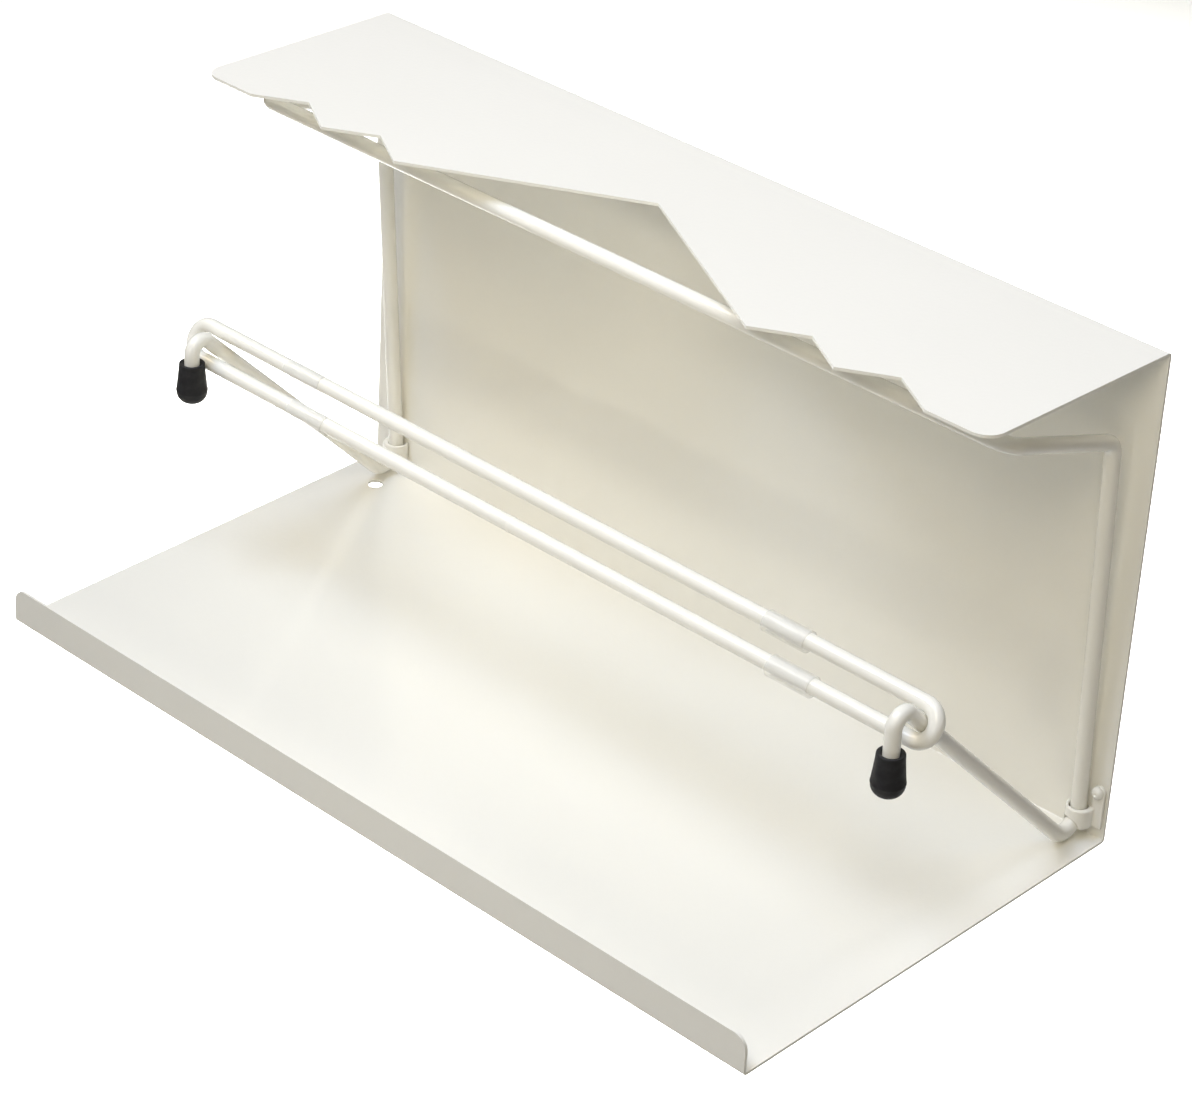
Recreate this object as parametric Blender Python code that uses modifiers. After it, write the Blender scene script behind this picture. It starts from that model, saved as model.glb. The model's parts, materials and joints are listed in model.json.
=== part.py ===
"""Wall mounted fold down rack: one folded sheet housing, a bent wire frame whose two foot bends turn
in riveted saddle clips so that it folds forward, and a closed wire link that slides on the frame's arms.

Frame: +X to the right, +Y into the wall, +Z up. The origin is the middle of the housing's wall face.
Sizes are in metres. Side view points are (y, z) pairs, measured from the crease of shelf and back.
"""
from math import atan2, cos, degrees, pi, radians, sin, sqrt, tan

import bmesh
import bpy
from mathutils import Matrix, Vector

# Sheet housing
WIDTH = 0.500
HEIGHT = 0.257
SHELF_DEPTH = 0.249
SHELF_DROP = radians(2.2)
LIP_HEIGHT = 0.020
HOOD_DEPTH = 0.125
SHEET = 0.0015
FOLD_RADIUS = 0.0022
HOOD_CORNER = 0.010
LIP_CORNER = 0.0075
TRIM = 0.004

# Teeth of the hood's front edge: distance from the middle, depth cut back, from the outer end inwards
HOOD_TEETH = ((0.2145, 0.0), (0.189, 0.015), (0.1635, 0.0), (0.138, 0.015), (0.1125, 0.0), (0.0, 0.0625))

# Holes in the housing
DRAIN_HOLE = 0.0040
DRAIN_PLACE = (-0.2254, -0.0255)
KEYHOLE_X = 0.125
KEYHOLE_Z = 0.232
KEYHOLE_HEAD = 0.0050
KEYHOLE_NECK = 0.0025
KEYHOLE_RISE = 0.010

# Wire frame: the rod, its bends, and the corners of its side view
ROD = 0.0039
GAP = 0.0003
HOOK_Y = {"left": -0.1496, "right": -0.1526}
ARM_RISE = radians(43.9)
FOOT = (-0.00455, -0.0084)
TOP = (-0.0155, 0.2125)
FRONT_BAR = (-0.0955, 0.2387)
HOOK_BEND = 0.006
FOOT_BEND = 0.010
TOP_BEND = 0.009
CORNER_BEND = 0.009
BEND_STEPS = 8

# Where the wire's sides stand across the width
SIDES = (("left", -1), ("right", 1))
FOOT_X = {"left": -0.2300, "right": 0.2370}
TOP_X = 0.2365
CORNER_X = 0.2385

# Saddle clips and their rivets
CLIP_BORE = 0.0047
CLIP_RADIUS = 0.0068
CLIP_BOTTOM = 0.0075
CLIP_OUTWARD = 0.0008
CLIP_TOP = 0.0175
TAB_INNER = 0.0053
TAB_OUTER = 0.0119
TAB_TOP = 0.0305
TAB_THICK = 0.0018
RIVET_OFFSET = 0.0086
RIVET_Z = 0.0270
RIVET_SHANK = 0.0016
RIVET_HEAD = 0.0032
RIVET_DOME = 0.0026

# Sliding link, its sleeves and the caps
LINK_TILT = radians(64.0)
LINK_END = 0.2367
LINK_PLACE = (-0.1343, 0.11646)
LINK_HALF_GAP = 0.00865
SLEEVE_CENTRE = {"upper": {"left": -0.1650, "right": 0.1560}, "lower": {"left": -0.1540, "right": 0.1665}}
SLEEVE_LENGTH = 0.025
SLEEVE_RADIUS = 0.0054
CAP_TOP_Z = {"left": 0.1125, "right": 0.1085}
CAP_FLOOR = 0.0040
CAP_LENGTH = 0.0223
CAP_RIM = 0.0067
CAP_WIDEST = 0.0081
CAP_SHOULDER = 0.0145

ROUND_SIDES = 24
WALL_SIDE = -SHEET - GAP


def clear_scene():
    for item in list(bpy.data.objects):
        bpy.data.objects.remove(item, do_unlink=True)


def collection(name):
    made = bpy.data.collections.new(name)
    bpy.context.scene.collection.children.link(made)
    return made


def material(name, colour, roughness, alpha=1.0):
    made = bpy.data.materials.new(name)
    made.use_nodes = True
    shader = made.node_tree.nodes["Principled BSDF"]
    shader.inputs["Base Color"].default_value = (*colour, 1.0)
    shader.inputs["Roughness"].default_value = roughness
    shader.inputs["Metallic"].default_value = 0.0
    shader.inputs["Alpha"].default_value = alpha
    return made


def empty(name, location, parent=None):
    made = bpy.data.objects.new(name, None)
    made.location = location
    made.parent = parent
    PARTS.objects.link(made)
    return made


def part(name, mesh, coat, parent, location=(0, 0, 0), rotation=None):
    """A named sub-part made from a mesh, in its parent's space."""
    made = bpy.data.objects.new(name, mesh)
    if rotation is not None:
        made.matrix_basis = rotation.to_4x4()
    made.location = location
    made.parent = parent
    mesh.materials.clear()
    mesh.materials.append(coat)
    PARTS.objects.link(made)
    return made


def smooth(mesh, angle=35.0):
    mesh.shade_smooth()
    mesh.set_sharp_from_angle(angle=radians(angle))


def fillet(points, radii, steps=BEND_STEPS):
    """A polyline whose inner corners are arcs of the given radii."""
    points = [Vector(p) for p in points]
    path = [points[0]]
    for before, corner, after, radius in zip(points, points[1:], points[2:], radii):
        back = (before - corner).normalized()
        ahead = (after - corner).normalized()
        half = back.angle(ahead) / 2
        start = corner + back * (radius / tan(half))
        centre = corner + (back + ahead).normalized() * (radius / sin(half))
        arm = start - centre
        for step in range(steps + 1):
            turn = (pi - 2 * half) * step / steps
            path.append(centre + arm * cos(turn) - back * (radius * sin(turn)))
    path.append(points[-1])
    return path


def mesh_of(source):
    """The evaluated mesh of a curve or modified object in world space, welded; the source is removed."""
    bpy.context.view_layer.update()
    evaluated = source.evaluated_get(bpy.context.evaluated_depsgraph_get())
    mesh = bpy.data.meshes.new_from_object(evaluated)
    mesh.transform(source.matrix_world)
    body = bmesh.new()
    body.from_mesh(mesh)
    bmesh.ops.remove_doubles(body, verts=body.verts, dist=1e-6)
    bmesh.ops.recalc_face_normals(body, faces=body.faces)
    body.to_mesh(mesh)
    body.free()
    bpy.data.objects.remove(source, do_unlink=True)
    return mesh


def rod_mesh(name, path, radius, closed=False):
    curve = bpy.data.curves.new(name, "CURVE")
    curve.dimensions = "3D"
    curve.bevel_depth = radius
    curve.bevel_resolution = 4
    curve.use_fill_caps = not closed
    spline = curve.splines.new("POLY")
    spline.points.add(len(path) - 1)
    for point, place in zip(spline.points, path):
        point.co = (*place, 1.0)
    spline.use_cyclic_u = closed
    source = bpy.data.objects.new(name, curve)
    PARTS.objects.link(source)
    mesh = mesh_of(source)
    smooth(mesh, 50.0)
    return mesh


def plate_mesh(name, outline, thickness):
    """A flat outline in local XY, thickened evenly about local z = 0."""
    curve = bpy.data.curves.new(name, "CURVE")
    curve.dimensions = "2D"
    curve.fill_mode = "BOTH"
    curve.extrude = thickness / 2
    spline = curve.splines.new("POLY")
    spline.points.add(len(outline) - 1)
    for point, (x, y) in zip(spline.points, outline):
        point.co = (x, y, 0.0, 1.0)
    spline.use_cyclic_u = True
    source = bpy.data.objects.new(name, curve)
    PARTS.objects.link(source)
    return mesh_of(source)


def turned_mesh(name, profile, closed=False, steps=ROUND_SIDES):
    """A profile of (radius, height) points, turned about local Z. It runs down its outer side."""
    mesh = bpy.data.meshes.new(name)
    count = len(profile)
    edges = [(i, i + 1) for i in range(count - 1)]
    if closed:
        edges.append((count - 1, 0))
    mesh.from_pydata([(r, 0.0, h) for r, h in profile], edges, [])
    source = bpy.data.objects.new(name, mesh)
    PARTS.objects.link(source)
    turn = source.modifiers.new("turn", "SCREW")
    turn.steps = steps
    turn.render_steps = steps
    turn.use_merge_vertices = True
    turn.merge_threshold = 0.00001
    made = mesh_of(source)
    smooth(made)
    return made


def cylinder_mesh(name, radius, depth):
    mesh = bpy.data.meshes.new(name)
    body = bmesh.new()
    bmesh.ops.create_cone(
        body, cap_ends=True, segments=ROUND_SIDES, radius1=radius, radius2=radius, depth=depth
    )
    body.to_mesh(mesh)
    body.free()
    return mesh


def cutter(name, mesh, location=(0, 0, 0), rotation=None, parent=None):
    made = bpy.data.objects.new(name, mesh)
    if rotation is not None:
        made.matrix_basis = rotation.to_4x4()
    made.location = location
    made.parent = parent
    made.hide_render = True
    made.display_type = "WIRE"
    CUTTERS.objects.link(made)
    return made


def cut(target, tool, operation="DIFFERENCE"):
    step = target.modifiers.new(tool.name, "BOOLEAN")
    step.operation = operation
    step.solver = "EXACT"
    step.object = tool


def arc(centre, radius, start, end, steps=BEND_STEPS):
    """Points (x, y) on an arc; the angles are in degrees."""
    return [
        (centre[0] + radius * cos(radians(a)), centre[1] + radius * sin(radians(a)))
        for a in (start + (end - start) * i / steps for i in range(steps + 1))
    ]


# ---- Sheet housing ----------------------------------------------------------------------------


def housing_mesh():
    """The folded strip: lip, shelf, back and hood, each fold an arc. Its points are the outer surface."""
    front = (-SHELF_DEPTH, -SHELF_DEPTH * tan(SHELF_DROP))
    corners = [
        (0.0, front[0], front[1] + LIP_HEIGHT + TRIM),
        (0.0, *front),
        (0.0, 0.0, 0.0),
        (0.0, 0.0, HEIGHT),
        (0.0, -HOOD_DEPTH - TRIM, HEIGHT),
    ]
    profile = fillet(corners, [FOLD_RADIUS] * 3, steps=6)
    mesh = bpy.data.meshes.new("sheet_housing")
    points = [(side * WIDTH / 2, p.y, p.z) for p in profile for side in (-1, 1)]
    faces = [(2 * i, 2 * i + 2, 2 * i + 3, 2 * i + 1) for i in range(len(profile) - 1)]
    mesh.from_pydata(points, [], faces)
    return mesh


def hood_trim_outline():
    """What is cut away in front of the hood: rounded outer corners and the row of teeth."""
    half = WIDTH / 2
    bend = (half - HOOD_CORNER, -HOOD_DEPTH + HOOD_CORNER)
    right = [(half + TRIM, bend[1])] + arc(bend, HOOD_CORNER, 0, -90)
    right += [(x, -HOOD_DEPTH + cut_back) for x, cut_back in HOOD_TEETH]
    left = [(-x, y) for x, y in reversed(right[:-1])]
    outside = -HOOD_DEPTH - 3 * TRIM
    return right + left + [(-half - TRIM, outside), (half + TRIM, outside)]


def lip_trim_outline():
    """What is cut away above the lip: its height and its two rounded corners, as (x, z) points."""
    half = WIDTH / 2
    top = LIP_HEIGHT - SHELF_DEPTH * tan(SHELF_DROP)
    bend = (half - LIP_CORNER, top - LIP_CORNER)
    right = [(half + TRIM, bend[1])] + arc(bend, LIP_CORNER, 0, 90)
    left = [(-x, z) for x, z in reversed(right)]
    return right + left + [(-half - TRIM, top + 3 * TRIM), (half + TRIM, top + 3 * TRIM)]


def keyhole_outline():
    """Round head hole with a narrow slot rising from it, as (x, z) points about the head's centre."""
    meet = atan2(sqrt(KEYHOLE_HEAD**2 - KEYHOLE_NECK**2), KEYHOLE_NECK) * 180 / pi
    head = arc((0, 0), KEYHOLE_HEAD, 180 - meet, 360 + meet, 16)
    neck = arc((0, KEYHOLE_RISE), KEYHOLE_NECK, 0, 180)
    return head + neck


def sheet_housing(base, coat):
    upright = Matrix.Rotation(radians(90), 3, "X")
    housing = part("sheet_housing", housing_mesh(), coat, base)
    wall = housing.modifiers.new("wall", "SOLIDIFY")
    wall.thickness = SHEET
    wall.offset = -1.0
    wall.use_even_offset = True
    tools = [
        cutter("hood_trim", plate_mesh("hood_trim", hood_trim_outline(), 0.02), (0, 0, HEIGHT), parent=base),
        cutter("lip_trim", plate_mesh("lip_trim", lip_trim_outline(), 0.02), (0, -SHELF_DEPTH, 0), upright, base),
        cutter(
            "drain_hole",
            cylinder_mesh("drain_hole", DRAIN_HOLE, 0.02),
            (*DRAIN_PLACE, 0),
            parent=base,
        ),
    ]
    for word, side in SIDES:
        name = f"keyhole_{word}"
        slot = plate_mesh(name, keyhole_outline(), 0.02)
        tools.append(cutter(name, slot, (side * KEYHOLE_X, 0, KEYHOLE_Z), upright, base))
        hole = cylinder_mesh("rivet_hole", RIVET_SHANK + GAP, 0.02)
        place = (FOOT_X[word] + side * RIVET_OFFSET, 0, RIVET_Z)
        tools.append(cutter(f"rivet_hole_{word}", hole, place, upright, base))
    for tool in tools:
        cut(housing, tool)


# ---- Wire frame, its clips and caps -----------------------------------------------------------


def hook_corner(word):
    """Side view corner of a hook: where its leg meets the line of the arm that rises from the foot."""
    return (HOOK_Y[word], FOOT[1] + (FOOT[0] - HOOK_Y[word]) * tan(ARM_RISE))


def foot_centre():
    """Side view centre of the foot bend, which is the fold axis."""
    bend = fillet([Vector(hook_corner("left")), Vector(FOOT), Vector(TOP)], [FOOT_BEND])
    up = (Vector(TOP) - Vector(FOOT)).normalized()
    return bend[-2] + Vector((-up.y, up.x)) * FOOT_BEND


def wire_path():
    """Right hook, arm, foot bend, leg and top bend, then the front bar and the same to the left."""
    halves = []
    for word, side in SIDES[::-1]:
        across = [FOOT_X[word]] * 3 + [side * TOP_X, side * CORNER_X]
        hook_end = (HOOK_Y[word], CAP_TOP_Z[word] - CAP_LENGTH + CAP_FLOOR + GAP)
        corners = (hook_end, hook_corner(word), FOOT, TOP, FRONT_BAR)
        halves.append([(x, *corner) for x, corner in zip(across, corners)])
    bends = [HOOK_BEND, FOOT_BEND, TOP_BEND, CORNER_BEND]
    return fillet(halves[0] + halves[1][::-1], bends + bends[::-1])


def wire_frame(axis, coat):
    """The bent wire, modelled about its fold axis."""
    mesh = rod_mesh("wire_frame", wire_path(), ROD)
    mesh.transform(Matrix.Translation(-axis.location))
    part("wire_frame", mesh, coat, axis)


def saddle_clips(base, coat, centre):
    """Each clip is a collar round the foot bend with a tab up the wall, on the bend's outer side."""
    wire_y = centre.y + FOOT_BEND
    flat = WALL_SIDE - wire_y
    wall_angle = degrees(atan2(flat, sqrt(CLIP_RADIUS**2 - flat**2)))
    collar = arc((0, 0), CLIP_RADIUS, 180 - wall_angle, 360 + wall_angle, 20)
    middle = (TAB_INNER + TAB_OUTER) / 2
    half = (TAB_OUTER - TAB_INNER) / 2
    tab_round = arc((middle, TAB_TOP - half), half, 0, 180)
    tab = [(TAB_INNER, CLIP_BOTTOM), (TAB_OUTER, CLIP_BOTTOM), *tab_round]
    bore = [(FOOT_BEND + x, z) for x, z in arc((0, 0), CLIP_BORE, 0, 337.5, 15)]
    upright = Matrix.Rotation(radians(90), 3, "X")
    around = Matrix.Rotation(radians(90), 3, "Y")
    for word, side in SIDES:
        collar_x = FOOT_X[word] + side * CLIP_OUTWARD
        place = Vector((collar_x, wire_y, (CLIP_BOTTOM + CLIP_TOP) / 2))
        ring = plate_mesh("saddle_clip", collar, CLIP_TOP - CLIP_BOTTOM)
        clip = part(f"saddle_clip_{word}", ring, coat, base, place)
        outline = [(side * x, z) for x, z in tab][::side]
        leaf = plate_mesh("clip_tab", outline, TAB_THICK)
        tab_place = (FOOT_X[word], WALL_SIDE - TAB_THICK / 2, 0)
        cut(clip, cutter(f"clip_tab_{word}", leaf, tab_place, upright, base), "UNION")
        torus = turned_mesh("clip_bore", bore, closed=True, steps=48)
        cut(clip, cutter(f"clip_bore_{word}", torus, (FOOT_X[word], *centre[1:]), around, base))
        rivet_x = FOOT_X[word] + side * RIVET_OFFSET
        hole = cylinder_mesh("clip_hole", RIVET_SHANK + GAP, 0.01)
        cut(clip, cutter(f"clip_hole_{word}", hole, (rivet_x, tab_place[1], RIVET_Z), upright, base))


def clip_rivets(base, steel):
    """Domed rivets through the clips' tabs; their shanks end inside the back panel."""
    seat = WALL_SIDE - TAB_THICK - GAP
    shank = -GAP - seat
    dome = [(RIVET_HEAD * x, RIVET_DOME * y) for x, y in arc((0, 0), 1.0, 90, 0)]
    profile = [*dome, (RIVET_SHANK, 0.0), (RIVET_SHANK, -shank), (0.0, -shank)]
    turn = Matrix.Rotation(radians(90), 3, "X")
    for word, side in SIDES:
        place = (FOOT_X[word] + side * RIVET_OFFSET, seat, RIVET_Z)
        part(f"clip_rivet_{word}", turned_mesh("clip_rivet", profile), steel, base, place, turn)


def cap_profile():
    """Rubber cap, open at the top with its bore round the hook's end; heights are from its bottom."""
    shoulder = CAP_LENGTH - CAP_SHOULDER
    bore = ROD + GAP
    outer = [(CAP_RIM - 0.0008, CAP_LENGTH), (CAP_RIM, CAP_LENGTH - 0.0008)]
    dome = [(CAP_WIDEST * cos(radians(a)), shoulder * (1 - sin(radians(a)))) for a in range(0, 76, 15)]
    return [(0.0, CAP_FLOOR), (bore, CAP_FLOOR), (bore, CAP_LENGTH), *outer, *dome, (0.0, 0.0)]


def rubber_caps(axis, rubber):
    for word, side in SIDES:
        place = Vector((FOOT_X[word], HOOK_Y[word], CAP_TOP_Z[word] - CAP_LENGTH)) - axis.location
        part(f"rubber_cap_{word}", turned_mesh("cap", cap_profile()), rubber, axis, place)


# ---- Sliding link -----------------------------------------------------------------------------


def link_path():
    """A long closed loop in its own XZ plane: two bars joined by half circles round the arms."""
    right = [(LINK_END + x, 0, z) for x, z in arc((0, 0), LINK_HALF_GAP, -90, 90, 2 * BEND_STEPS)]
    left = [(-x, 0, -z) for x, _, z in right]
    return right + left


def ring_link(axis, coat, clear):
    mesh = rod_mesh("ring_link", link_path(), ROD, closed=True)
    lean = Matrix.Rotation(LINK_TILT - radians(90), 3, "X")
    link = part("ring_link", mesh, coat, axis, Vector((0, *LINK_PLACE)) - axis.location, lean)
    bore = ROD + GAP
    end = SLEEVE_LENGTH / 2
    edge = 0.0003
    profile = [(SLEEVE_RADIUS - edge, end), (SLEEVE_RADIUS, end - edge), (SLEEVE_RADIUS, edge - end)]
    profile += [(SLEEVE_RADIUS - edge, -end), (bore, -end), (bore, end)]
    along = Matrix.Rotation(radians(90), 3, "Y")
    for level, height in (("lower", -LINK_HALF_GAP), ("upper", LINK_HALF_GAP)):
        for word, _ in SIDES:
            place = (SLEEVE_CENTRE[level][word], 0, height)
            sleeve = turned_mesh("sleeve", profile, closed=True)
            part(f"clear_sleeve_{level}_{word}", sleeve, clear, link, place, along)


def main():
    powder = material("white_powder_coat", (0.86, 0.86, 0.83), 0.35)
    rubber = material("black_rubber", (0.02, 0.02, 0.022), 0.7)
    clear = material("clear_plastic", (0.88, 0.90, 0.91), 0.25, 0.45)
    base = empty("rack", (0, 0, -HEIGHT / 2))
    fold = foot_centre()
    axis = empty("fold_axis", (0, *fold), base)
    sheet_housing(base, powder)
    wire_frame(axis, powder)
    saddle_clips(base, powder, axis.location)
    clip_rivets(base, powder)
    rubber_caps(axis, rubber)
    ring_link(axis, powder, clear)
    bpy.context.view_layer.update()


clear_scene()
PARTS = collection("fold_down_rack")
CUTTERS = collection("cutters")
main()
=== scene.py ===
"""Looks for the wall mounted fold down rack: powder coated sheet and wire, rubber caps, clear sleeves.

The CAD housing stays and gets rounded sheet edges and a coat. The wires, caps, sleeves, clips and
rivets are finer pieces that stand for their CAD nodes. Lengths are in metres, +Z up.
"""

import json
from math import cos, pi, radians, sin, tan

import bmesh
import bpy
from mathutils import Matrix, Vector


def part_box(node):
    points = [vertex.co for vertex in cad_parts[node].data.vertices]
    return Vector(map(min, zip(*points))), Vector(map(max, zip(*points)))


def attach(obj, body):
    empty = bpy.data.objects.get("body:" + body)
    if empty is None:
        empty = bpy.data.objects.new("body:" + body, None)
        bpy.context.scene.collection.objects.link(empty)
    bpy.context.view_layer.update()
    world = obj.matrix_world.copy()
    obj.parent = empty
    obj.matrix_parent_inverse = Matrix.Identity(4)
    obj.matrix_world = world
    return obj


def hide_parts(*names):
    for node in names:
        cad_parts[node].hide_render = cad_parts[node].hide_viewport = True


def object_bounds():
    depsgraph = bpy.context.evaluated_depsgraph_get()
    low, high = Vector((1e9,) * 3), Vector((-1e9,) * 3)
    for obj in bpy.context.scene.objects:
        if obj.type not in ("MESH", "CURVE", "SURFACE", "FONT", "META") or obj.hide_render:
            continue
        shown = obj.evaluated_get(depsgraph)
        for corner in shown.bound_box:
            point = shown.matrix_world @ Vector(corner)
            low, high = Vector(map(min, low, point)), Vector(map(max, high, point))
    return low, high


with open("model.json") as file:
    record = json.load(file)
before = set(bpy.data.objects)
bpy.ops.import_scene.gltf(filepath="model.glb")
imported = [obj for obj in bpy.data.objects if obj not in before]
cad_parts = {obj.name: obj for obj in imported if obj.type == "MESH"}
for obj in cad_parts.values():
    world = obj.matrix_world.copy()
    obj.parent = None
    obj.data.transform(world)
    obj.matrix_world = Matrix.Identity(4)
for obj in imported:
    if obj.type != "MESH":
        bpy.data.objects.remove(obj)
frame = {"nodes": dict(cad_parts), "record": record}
CAD_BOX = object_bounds()
NODES = frame["nodes"]
JOINTS = {joint["name"]: joint for joint in frame["record"]["behaviour"]["joints"]}
SIDES = (("left", -1), ("right", 1))
SLEEVES = [(level, word) for level in ("upper", "lower") for word, _ in SIDES]

# The rod's radius and its bends
ROD = 0.0039
ROD_BEVEL_STEPS = 16
FOOT_BEND = 0.010
HOOK_BEND = 0.006
TOP_BEND = 0.009
CORNER_BEND = 0.009
BEND_STEPS = 20
TOP_CORNER = (-0.0155, -0.0262)
FRONT_BAR_Y = -0.0955
TOP_X = 0.2365
CORNER_X = 0.2385
HOOK_END_ABOVE_CAP = 0.004

# The link's weld: a (radius, place along the bar) outline, just left of the middle of the lower bar
WELD_X = -0.012
WELD_BEAD = (
    (ROD - 0.0002, 0.0016),
    (ROD + 0.00012, 0.0008),
    (ROD + 0.00022, 0.0),
    (ROD + 0.00012, -0.0008),
    (ROD - 0.0002, -0.0016),
)
LINK_END_STEPS = 40

# Sleeves, a little below the middle of their bars
SLEEVE_RADIUS = 0.0054
SLEEVE_BORE = 0.0046
SLEEVE_EDGE = 0.0002
SLEEVE_HANG = 0.0006

# Caps: rim and shoulder as shares of the greatest radius and of the length
CAP_RIM = 0.817
CAP_SHOULDER = 0.36
CAP_BORE_FLOOR = 0.3
CAP_BORE = ROD + 0.0003
CAP_MOUTH = ROD + 0.0009
CAP_RIM_ROUND = 0.0007
CAP_BEAD = 0.00015
CAP_TAPER_TOP = 0.0012
CAP_TAPER_STEPS = 8
CAP_TAPER_POWER = 1.15
CAP_DOME_POWER = 0.85

# Rivets: dome, dimple floor and shank as shares of the length, the dome and the head's radius
RIVET_DOME = 0.34
RIVET_DIMPLE_FLOOR = 0.82
RIVET_DIMPLE_STEP = 0.84
RIVET_DIMPLE_INNER = 0.0005
RIVET_DIMPLE_RADIUS = 0.0008
RIVET_SHANK = 0.6
RIVET_UNDERSIDE = -0.0001
RIVET_EDGE = 0.0002
RIVET_STEPS = 40

# Edges of the coated sheet, and how the clips are softened
FLAT_ANGLE = 0.5
SHEET_EDGE = 0.00045
SHEET_EDGE_SEGMENTS = 3
SHEET_EDGE_ANGLE = 40
CLIP_VOXEL = 0.0004
CLIP_RELAX_ROUNDS = 12
CLIP_RELAX_FACTOR = 0.5

# Turned pieces and shading
TURN_STEPS = 64
MERGE_DISTANCE = 1e-6
SEAM_DISTANCE = 1e-5
ROD_SMOOTH_ANGLE = 50.0
TURNED_SMOOTH_ANGLE = 35.0

# Colours, each as the two tones that a soft noise mixes
COAT_TONES = ((0.885, 0.873, 0.812), (0.90, 0.888, 0.828))
RUBBER_TONES = ((0.010, 0.010, 0.012), (0.022, 0.022, 0.025))
SLEEVE_TONES = ((0.90, 0.90, 0.88), (0.94, 0.94, 0.92))
SLEEVE_ALPHA = 0.25
FLOOR_TONES = ((0.95, 0.945, 0.90), (0.97, 0.965, 0.92))

# Camera, at the right front of the rack
CAMERA_PLACE = (1.0909, -1.2657, 0.8698)
CAMERA_AZIMUTH = 42.89
CAMERA_ELEVATION = 29.74
CAMERA_ROLL = 3.28
CAMERA_LENS = 115.96
CAMERA_SENSOR = 36.0
CAMERA_NEAR = 0.1
CAMERA_FAR = 50.0

# Light: a dim warm surround that fades overhead, and soft boxes round the rack
SURROUND = (0.235, 0.212, 0.178)
SOFT_BOX_SIZE = (1.0, 1.0)
SOFT_BOX_DISTANCE = 2.5
SOFT_BOX_AIM = (0.0, -0.1, 0.0)
# Name, azimuth, elevation, power, colour
SOFT_BOXES = (
    ("top_left", -35, 62, 30.5, (0.88, 1.0, 1.25)),
    ("right_front", 35, 45, 20.0, (1.0, 0.89, 0.68)),
    ("far_left", -70, 45, 16.5, (1.0, 0.87, 0.63)),
    ("behind", 170, 60, 13.0, (1.0, 0.96, 0.98)),
    ("right", 60, 70, 11.5, (0.88, 1.0, 1.2)),
)
# A snooted light from low in front that reaches under the hood
SNOOT_AZIMUTH = 15
SNOOT_ELEVATION = 14
SNOOT_DISTANCE = 2.2
SNOOT_AIM = (-0.07, 0.0, 0.075)
SNOOT_CONE = 16
SNOOT_SIZE = 0.25
SNOOT_POWER = 62.0
SNOOT_COLOUR = (1.0, 0.95, 0.80)

# The pale floor, far below the rack, and the light for the part of it that shows behind the rack
FLOOR_DROP = 1.2
FLOOR_SIZE = 60.0
BACKDROP_PLACE = (-1.4, 1.6, 0.9)
BACKDROP_AIM = (-1.5, 1.7, -FLOOR_DROP)
BACKDROP_SIZE = (1.6, 1.6)
BACKDROP_POWER = 95.0
BACKDROP_SPREAD = 100


# ---- Small tools ------------------------------------------------------------------------------


def centre_of(node):
    low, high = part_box(node)
    return (Vector(low) + Vector(high)) / 2


def link_object(name, data):
    made = bpy.data.objects.new(name, data)
    bpy.context.scene.collection.objects.link(made)
    return made


def smooth(mesh, angle):
    mesh.shade_smooth()
    mesh.set_sharp_from_angle(angle=radians(angle))


def finish_piece(piece, body, slot, coat, *stands_for):
    piece.data.materials.clear()
    piece.data.materials.append(coat)
    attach(piece, body)
    if stands_for:
        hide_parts(*stands_for)


def fillet(points, radii):
    """A polyline whose inner corners are arcs of the given radii."""
    points = [Vector(p) for p in points]
    path = [points[0]]
    for before, corner, after, radius in zip(points, points[1:], points[2:], radii):
        back = (before - corner).normalized()
        ahead = (after - corner).normalized()
        half = back.angle(ahead) / 2
        start = corner + back * (radius / tan(half))
        centre = corner + (back + ahead).normalized() * (radius / sin(half))
        arm = start - centre
        for step in range(BEND_STEPS + 1):
            turn = (pi - 2 * half) * step / BEND_STEPS
            path.append(centre + arm * cos(turn) - back * (radius * sin(turn)))
    path.append(points[-1])
    return path


def evaluated_mesh(source):
    """The mesh of a curve or modified object in world space, with its caps welded; the source goes."""
    bpy.context.view_layer.update()
    evaluated = source.evaluated_get(bpy.context.evaluated_depsgraph_get())
    made = bpy.data.meshes.new_from_object(evaluated)
    made.transform(source.matrix_world)
    body = bmesh.new()
    body.from_mesh(made)
    bmesh.ops.remove_doubles(body, verts=body.verts, dist=MERGE_DISTANCE)
    bmesh.ops.recalc_face_normals(body, faces=body.faces)
    body.to_mesh(made)
    body.free()
    bpy.data.objects.remove(source, do_unlink=True)
    return made


def rod(name, path, closed=False):
    """A length of the rod along a path of points."""
    curve = bpy.data.curves.new(name, "CURVE")
    curve.dimensions = "3D"
    curve.bevel_depth = ROD
    curve.bevel_resolution = ROD_BEVEL_STEPS
    curve.use_fill_caps = not closed
    spline = curve.splines.new("POLY")
    spline.points.add(len(path) - 1)
    for point, place in zip(spline.points, path):
        point.co = (*place, 1.0)
    spline.use_cyclic_u = closed
    mesh = evaluated_mesh(link_object(name, curve))
    smooth(mesh, ROD_SMOOTH_ANGLE)
    return link_object(name, mesh)


def turned(name, profile, closed=False, steps=TURN_STEPS):
    """(radius, height) points turned about local Z; they run down the outer side."""
    mesh = bpy.data.meshes.new(name)
    edges = [(i, i + 1) for i in range(len(profile) - 1)]
    if closed:
        edges.append((len(profile) - 1, 0))
    mesh.from_pydata([(r, 0.0, h) for r, h in profile], edges, [])
    source = link_object(name, mesh)
    turn = source.modifiers.new("turn", "SCREW")
    turn.steps = steps
    turn.render_steps = steps
    turn.use_merge_vertices = True
    turn.merge_threshold = SEAM_DISTANCE
    made = evaluated_mesh(source)
    smooth(made, TURNED_SMOOTH_ANGLE)
    return made


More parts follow.
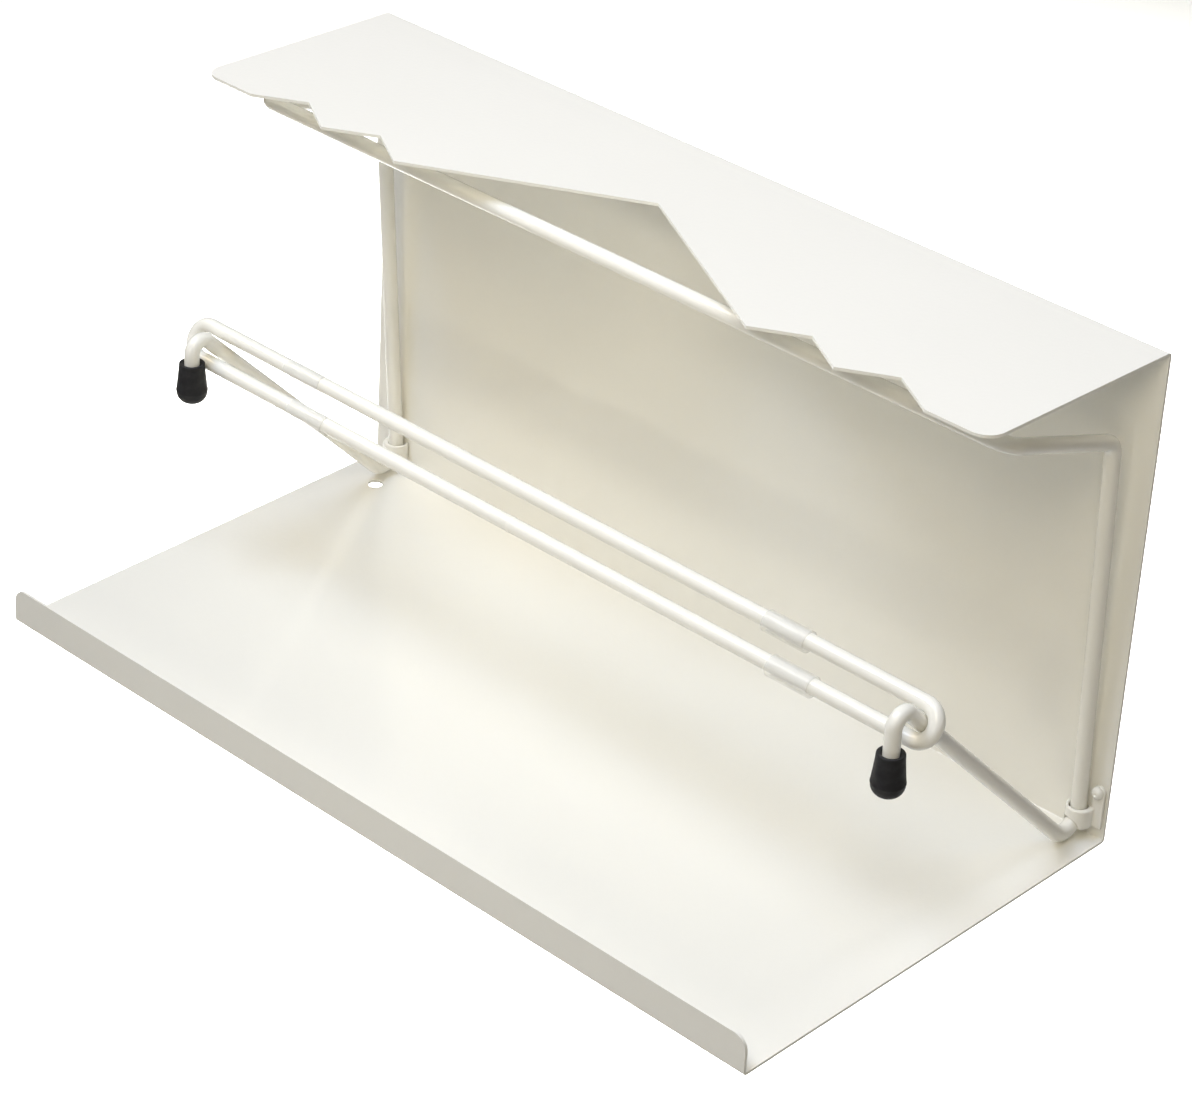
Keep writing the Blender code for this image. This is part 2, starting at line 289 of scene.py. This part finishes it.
def arc(centre, radius, start, end, steps):
    """Points on an arc; the angles are in degrees."""
    angles = [radians(start + (end - start) * i / steps) for i in range(steps + 1)]
    return [(centre[0] + radius * cos(a), centre[1] + radius * sin(a)) for a in angles]


def on_bar(place, turn):
    """A matrix that lays a turned piece's local Z along the link's bars, at a place."""
    return Matrix.Translation(place) @ (turn @ Matrix.Rotation(radians(90), 3, "Y")).to_4x4()


# ---- Materials --------------------------------------------------------------------------------


class Shader:
    """A Principled material with a few helpers for its nodes."""

    def __init__(self, name):
        self.material = bpy.data.materials.new(name)
        self.material.use_nodes = True
        self.nodes = self.material.node_tree.nodes
        self.links = self.material.node_tree.links
        self.main = self.nodes["Principled BSDF"]
        self.where = self.nodes.new("ShaderNodeTexCoord").outputs["Object"]

    def set(self, **values):
        for name, value in values.items():
            self.main.inputs[name.replace("_", " ")].default_value = value

    def noise(self, scale, detail=3.0, roughness=0.5):
        node = self.nodes.new("ShaderNodeTexNoise")
        node.inputs["Scale"].default_value = scale
        node.inputs["Detail"].default_value = detail
        node.inputs["Roughness"].default_value = roughness
        self.links.new(self.where, node.inputs["Vector"])
        return node.outputs["Fac"]

    def remap(self, value, low, high, start=0.35, end=0.65):
        node = self.nodes.new("ShaderNodeMapRange")
        limits = {"From Min": start, "From Max": end, "To Min": low, "To Max": high}
        for name, number in limits.items():
            node.inputs[name].default_value = number
        self.links.new(value, node.inputs["Value"])
        return node.outputs["Result"]

    def mix(self, factor, first, second):
        node = self.nodes.new("ShaderNodeMix")
        node.data_type = "RGBA"
        node.inputs["A"].default_value = (*first, 1.0)
        node.inputs["B"].default_value = (*second, 1.0)
        self.links.new(factor, node.inputs["Factor"])
        return node.outputs["Result"]

    def bump(self, height, strength, distance, below=None):
        node = self.nodes.new("ShaderNodeBump")
        node.inputs["Strength"].default_value = strength
        node.inputs["Distance"].default_value = distance
        self.links.new(height, node.inputs["Height"])
        if below is not None:
            self.links.new(below, node.inputs["Normal"])
        return node.outputs["Normal"]

    def into(self, output, name):
        self.links.new(output, self.main.inputs[name])


def powder_coat(name, peel=1.0):
    """White powder coat: warm white, orange peel about 2 mm across and a fine grain."""
    coat = Shader(name)
    coat.set(IOR=1.5, Coat_Weight=0.8, Coat_Roughness=0.10, Coat_IOR=1.5)
    tone = coat.remap(coat.noise(7.0, 2.0), 0.0, 1.0, 0.25, 0.75)
    coat.into(coat.mix(tone, *COAT_TONES), "Base Color")
    coat.into(coat.remap(coat.noise(25.0, 2.0), 0.34, 0.38, 0.25, 0.75), "Roughness")
    orange = coat.bump(coat.noise(420.0, 1.0), 0.20 * peel, 0.00022)
    grain = coat.bump(coat.noise(2600.0, 2.0), 0.08, 0.00004, orange)
    coat.into(grain, "Normal")
    coat.into(orange, "Coat Normal")
    return coat.material


def black_rubber():
    """Matte black rubber with a fine moulded grain and a little grey bloom."""
    rubber = Shader("black_rubber")
    rubber.set(IOR=1.45, Specular_IOR_Level=0.45)
    bloom = rubber.remap(rubber.noise(180.0, 5.0, 0.6), 0.0, 1.0, 0.45, 0.75)
    rubber.into(rubber.mix(bloom, *RUBBER_TONES), "Base Color")
    rubber.into(rubber.remap(rubber.noise(240.0, 4.0), 0.48, 0.66), "Roughness")
    coarse = rubber.bump(rubber.noise(700.0, 3.0), 0.25, 0.0002)
    rubber.into(rubber.bump(rubber.noise(3200.0, 3.0), 0.25, 0.0001, coarse), "Normal")
    return rubber.material


def clear_plastic():
    """Slightly milky clear vinyl tube: mostly see-through, with a wet looking surface."""
    clear = Shader("clear_plastic")
    clear.set(IOR=1.45, Alpha=SLEEVE_ALPHA, Coat_Weight=0.6, Coat_Roughness=0.12)
    haze = clear.remap(clear.noise(120.0, 4.0), 0.0, 1.0)
    clear.into(clear.mix(haze, *SLEEVE_TONES), "Base Color")
    clear.into(clear.remap(clear.noise(90.0, 3.0), 0.18, 0.30), "Roughness")
    clear.into(clear.bump(clear.noise(260.0, 2.0), 0.25, 0.0002), "Normal")
    return clear.material


# ---- Pieces -----------------------------------------------------------------------------------


def dress_housing(coat):
    """The CAD housing keeps its shape; its cut edges get the small radius of a coated sheet."""
    housing = NODES["sheet_housing"]
    flat = housing.modifiers.new("flat", "DECIMATE")
    flat.decimate_type = "DISSOLVE"
    flat.angle_limit = radians(FLAT_ANGLE)
    edge = housing.modifiers.new("edge", "BEVEL")
    edge.width = SHEET_EDGE
    edge.segments = SHEET_EDGE_SEGMENTS
    edge.limit_method = "ANGLE"
    edge.angle_limit = radians(SHEET_EDGE_ANGLE)
    edge.harden_normals = True
    housing.data.shade_smooth()
    housing.data.materials.clear()
    housing.data.materials.append(coat)


def wire_corners(word):
    """Side view corners of one side of the wire: hook end, hook, foot, top bend and front bar."""
    pivot = Vector(JOINTS["frame_fold"]["pos_m"][1:])
    down = Vector(JOINTS["link_slide"]["axis"][1:]).normalized()
    hook_y = centre_of(f"rubber_cap_{word}").y
    hook_end = Vector((hook_y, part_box(f"rubber_cap_{word}")[0][2] + HOOK_END_ABOVE_CAP))
    bar = Vector((FRONT_BAR_Y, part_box("wire_frame")[1][2] - ROD))
    top = Vector((TOP_CORNER[0], bar.y + TOP_CORNER[1]))
    # The arm touches the foot bend from below; its line runs on to the hook.
    on_arm = pivot + Vector((down.y, -down.x)) * FOOT_BEND
    hook = on_arm - down * ((on_arm.x - hook_y) / down.x)
    # The leg touches the same bend from behind, on its way to the top corner.
    reach = (top - pivot).length
    lean = (top - pivot).normalized()
    inward = FOOT_BEND / reach
    across = Vector((lean.y, -lean.x))
    touch = pivot + lean * (FOOT_BEND * inward) + across * (FOOT_BEND * (1 - inward**2) ** 0.5)
    leg = (top - touch).normalized()
    foot = touch - leg * ((on_arm - touch).cross(down) / down.cross(leg))
    return [hook_end, hook, foot, top, bar]


def wire_frame(coat):
    """The one bent rod, from the right hook round the frame to the left hook."""
    halves = []
    for word, side in SIDES[::-1]:
        foot_x = centre_of(f"rubber_cap_{word}").x
        across = [foot_x] * 3 + [side * TOP_X, side * CORNER_X]
        halves.append([(x, *corner) for x, corner in zip(across, wire_corners(word))])
    bends = [HOOK_BEND, FOOT_BEND, TOP_BEND, CORNER_BEND]
    wire = rod("bent_wire_frame", fillet(halves[0] + halves[1][::-1], bends + bends[::-1]))
    finish_piece(wire, "rack", "powder_coat", coat, "wire_frame")


def link_axes():
    """The link's centre and axes from its four sleeves, and half the distance between its bars."""
    spot = {(level, word): centre_of(f"clear_sleeve_{level}_{word}") for level, word in SLEEVES}
    along = (spot["upper", "right"] - spot["upper", "left"]).normalized()
    upper = spot["upper", "right"] + spot["upper", "left"]
    rise = (upper - spot["lower", "right"] - spot["lower", "left"]) / 2
    rise -= along * rise.dot(along)
    up = rise.normalized()
    centre = sum(spot.values(), Vector()) / 4
    turn = Matrix((along, up.cross(along), up)).transposed()
    return centre, turn, rise.length / 2


def ring_link(coat):
    """The closed link, centred between the ends of its CAD box, and the bead of its weld."""
    centre, turn, half_gap = link_axes()
    low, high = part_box("ring_link")
    middle = Vector(((low[0] + high[0]) / 2, 0, 0))
    centre = centre + turn.col[0] * ((middle.x - centre.x) / turn.col[0].x)
    half = (high[0] - low[0]) / 2 / turn.col[0].x - half_gap - ROD
    right = [(half + x, 0, z) for x, z in arc((0, 0), half_gap, -90, 90, LINK_END_STEPS)]
    path = right + [(-x, 0, -z) for x, _, z in right]
    link = rod("closed_wire_link", [centre + turn @ Vector(p) for p in path], closed=True)
    finish_piece(link, "link", "powder_coat", coat, "ring_link")
    weld = link_object("link_weld", turned("link_weld", WELD_BEAD, closed=True))
    weld.matrix_world = on_bar(centre + turn @ Vector((WELD_X, 0, -half_gap)), turn)
    finish_piece(weld, "link", "powder_coat", coat)


def clear_sleeves(clear):
    """Thin loose tubes that hang on the bars; the cut ends are a little rounded."""
    _, turn, _ = link_axes()
    for level, word in SLEEVES:
        node = f"clear_sleeve_{level}_{word}"
        low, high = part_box(node)
        end = (high[0] - low[0]) / 2
        profile = [
            (SLEEVE_RADIUS - SLEEVE_EDGE, end),
            (SLEEVE_RADIUS, end - SLEEVE_EDGE),
            (SLEEVE_RADIUS, SLEEVE_EDGE - end),
            (SLEEVE_RADIUS - SLEEVE_EDGE, -end),
            (SLEEVE_BORE, -end),
            (SLEEVE_BORE, end),
        ]
        sleeve = link_object(f"sleeve_{level}_{word}", turned(node, profile, closed=True))
        sleeve.matrix_world = on_bar(centre_of(node) + Vector((0, 0, -SLEEVE_HANG)), turn)
        finish_piece(sleeve, "link", "clear_plastic", clear, node)


def cap_profile(length, widest):
    """Outer side from the rim down to the domed end, then the bore's floor and wall."""
    rim = widest * CAP_RIM
    shoulder = length * CAP_SHOULDER
    floor_height = length * CAP_BORE_FLOOR
    # The small steps below are measured from the rim and from the shoulder.
    bore = [(0.0, floor_height), (CAP_BORE, floor_height), (CAP_BORE, length - 0.0009)]
    mouth = [(CAP_MOUTH, length - 0.0003), (rim - 0.0012, length)]
    corner = (rim - CAP_RIM_ROUND, length - CAP_RIM_ROUND)
    rounding = arc(corner, CAP_RIM_ROUND, 80, 0, 4)
    # The side widens to the shoulder's bead, a little faster near the bead.
    top = length - CAP_TAPER_TOP
    widening = widest - CAP_BEAD - rim
    shares = [step / CAP_TAPER_STEPS for step in range(1, CAP_TAPER_STEPS + 1)]
    side = [(rim + widening * t**CAP_TAPER_POWER, top - (top - shoulder) * t) for t in shares]
    bead = [
        (widest, shoulder - 0.0004),
        (widest, shoulder - 0.0009),
        (widest - CAP_BEAD, shoulder - 0.0013),
    ]
    base = shoulder - 0.0016
    angles = [radians(a) for a in range(8, 90, 8)]
    dome = [((widest - 0.0002) * cos(a) ** CAP_DOME_POWER, base * (1 - sin(a))) for a in angles]
    return bore + mouth + rounding + side + bead + dome + [(0.0, 0.0)]


def rubber_caps(rubber):
    """The caps on the hooks' ends, each at the size and height of its CAD node."""
    for word, _ in SIDES:
        node = f"rubber_cap_{word}"
        low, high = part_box(node)
        mesh = turned(node, cap_profile(high[2] - low[2], (high[0] - low[0]) / 2))
        cap = link_object(f"cap_{word}", mesh)
        centre = centre_of(node)
        cap.location = (centre.x, centre.y, low[2])
        finish_piece(cap, "rack", "rubber", rubber, node)


def saddle_clips(coat):
    """Thickly coated clips: the CAD clip remeshed and relaxed, so that its corners run soft."""
    for word, _ in SIDES:
        node = f"saddle_clip_{word}"
        source = link_object(f"clip_{word}_raw", NODES[node].data.copy())
        grid = source.modifiers.new("grid", "REMESH")
        grid.mode = "VOXEL"
        grid.voxel_size = CLIP_VOXEL
        relax = source.modifiers.new("relax", "SMOOTH")
        relax.iterations = CLIP_RELAX_ROUNDS
        relax.factor = CLIP_RELAX_FACTOR
        clip = link_object(f"clip_{word}", evaluated_mesh(source))
        clip.data.shade_smooth()
        finish_piece(clip, "housing", "powder_coat", coat, node)


def clip_rivets(coat):
    """Domed blind rivets with the small dimple of their drawn mandrel."""
    for word, _ in SIDES:
        node = f"clip_rivet_{word}"
        low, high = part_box(node)
        radius = (high[0] - low[0]) / 2
        length = high[1] - low[1]
        dome = length * RIVET_DOME
        shank = radius * RIVET_SHANK
        round_out = radius - RIVET_DIMPLE_RADIUS
        angles = [radians(a) for a in range(15, 91, 15)]
        profile = [
            (0.0, dome * RIVET_DIMPLE_FLOOR),
            (RIVET_DIMPLE_INNER, dome * RIVET_DIMPLE_STEP),
            (RIVET_DIMPLE_RADIUS, dome),
            *((RIVET_DIMPLE_RADIUS + round_out * sin(a), dome * cos(a)) for a in angles),
            (radius - RIVET_EDGE, RIVET_UNDERSIDE),
            (shank, RIVET_UNDERSIDE),
            (shank, dome - length),
            (0.0, dome - length),
        ]
        rivet = link_object(f"rivet_{word}", turned(node, profile, steps=RIVET_STEPS))
        centre = centre_of(node)
        place = Matrix.Translation((centre.x, low[1] + dome, centre.z))
        rivet.matrix_world = place @ Matrix.Rotation(radians(90), 4, "X")
        finish_piece(rivet, "housing", "rivet_steel", coat, node)


# ---- Stage ------------------------------------------------------------------------------------


def direction(azimuth, elevation):
    """A unit vector away from the rack: azimuth 0 is in front and 90 at the right, in degrees."""
    across, up = radians(azimuth), radians(elevation)
    return Vector((sin(across) * cos(up), -cos(across) * cos(up), sin(up)))


def camera():
    data = bpy.data.cameras.new("camera")
    data.lens = CAMERA_LENS
    data.sensor_width = CAMERA_SENSOR
    data.clip_start = CAMERA_NEAR
    data.clip_end = CAMERA_FAR
    made = link_object("camera", data)
    level = direction(CAMERA_AZIMUTH, CAMERA_ELEVATION).to_track_quat("Z", "Y").to_matrix()
    rolled = level @ Matrix.Rotation(radians(CAMERA_ROLL), 3, "Z")
    made.matrix_world = Matrix.Translation(CAMERA_PLACE) @ rolled.to_4x4()
    bpy.context.scene.camera = made


def area_light(name, place, aim, size, power, colour=(1.0, 1.0, 1.0)):
    data = bpy.data.lights.new(name, "AREA")
    data.shape = "RECTANGLE"
    data.size, data.size_y = size
    data.energy = power
    data.color = colour
    made = link_object(name, data)
    made.location = place
    made.rotation_euler = (Vector(aim) - Vector(place)).to_track_quat("-Z", "Y").to_euler()
    return data


def snooted_light():
    data = bpy.data.lights.new("snooted_light", "SPOT")
    data.energy = SNOOT_POWER
    data.color = SNOOT_COLOUR
    data.shadow_soft_size = SNOOT_SIZE
    data.spot_size = radians(SNOOT_CONE)
    data.spot_blend = 1.0
    made = link_object("snooted_light", data)
    towards = direction(SNOOT_AZIMUTH, SNOOT_ELEVATION)
    made.location = Vector(SNOOT_AIM) + towards * SNOOT_DISTANCE
    made.rotation_euler = towards.to_track_quat("Z", "Y").to_euler()


def floor():
    mesh = bpy.data.meshes.new("floor")
    body = bmesh.new()
    bmesh.ops.create_grid(body, x_segments=1, y_segments=1, size=FLOOR_SIZE)
    body.to_mesh(mesh)
    body.free()
    plane = link_object("floor", mesh)
    plane.location.z = CAD_BOX[0].z - FLOOR_DROP
    paper = Shader("pale_floor")
    paper.set(Specular_IOR_Level=0.1)
    paper.into(paper.mix(paper.noise(3.0), *FLOOR_TONES), "Base Color")
    paper.into(paper.remap(paper.noise(12.0), 0.85, 0.95), "Roughness")
    mesh.materials.append(paper.material)


def studio():
    world = bpy.data.worlds.new("studio")
    world.use_nodes = True
    nodes, links = world.node_tree.nodes, world.node_tree.links
    split = nodes.new("ShaderNodeSeparateXYZ")
    links.new(nodes.new("ShaderNodeTexCoord").outputs["Generated"], split.inputs["Vector"])
    height = nodes.new("ShaderNodeMapRange")
    height.interpolation_type = "SMOOTHSTEP"
    height.inputs["To Min"].default_value = 1.0
    height.inputs["To Max"].default_value = 0.0
    links.new(split.outputs["Z"], height.inputs["Value"])
    sky = nodes["Background"]
    sky.inputs["Color"].default_value = (*SURROUND, 1.0)
    links.new(height.outputs["Result"], sky.inputs["Strength"])
    bpy.context.scene.world = world
    bpy.context.scene.view_settings.view_transform = "Standard"
    aim = Vector(SOFT_BOX_AIM)
    for name, azimuth, elevation, power, colour in SOFT_BOXES:
        place = aim + direction(azimuth, elevation) * SOFT_BOX_DISTANCE
        area_light(name, place, aim, SOFT_BOX_SIZE, power, colour)
    snooted_light()
    backdrop = area_light("backdrop", BACKDROP_PLACE, BACKDROP_AIM, BACKDROP_SIZE, BACKDROP_POWER)
    backdrop.spread = radians(BACKDROP_SPREAD)


def main():
    camera()
    coat = powder_coat("white_powder_coat")
    wire_coat = powder_coat("white_wire_coat", peel=0.6)
    dress_housing(coat)
    wire_frame(wire_coat)
    ring_link(wire_coat)
    clear_sleeves(clear_plastic())
    rubber_caps(black_rubber())
    saddle_clips(wire_coat)
    clip_rivets(wire_coat)
    floor()
    studio()


main()
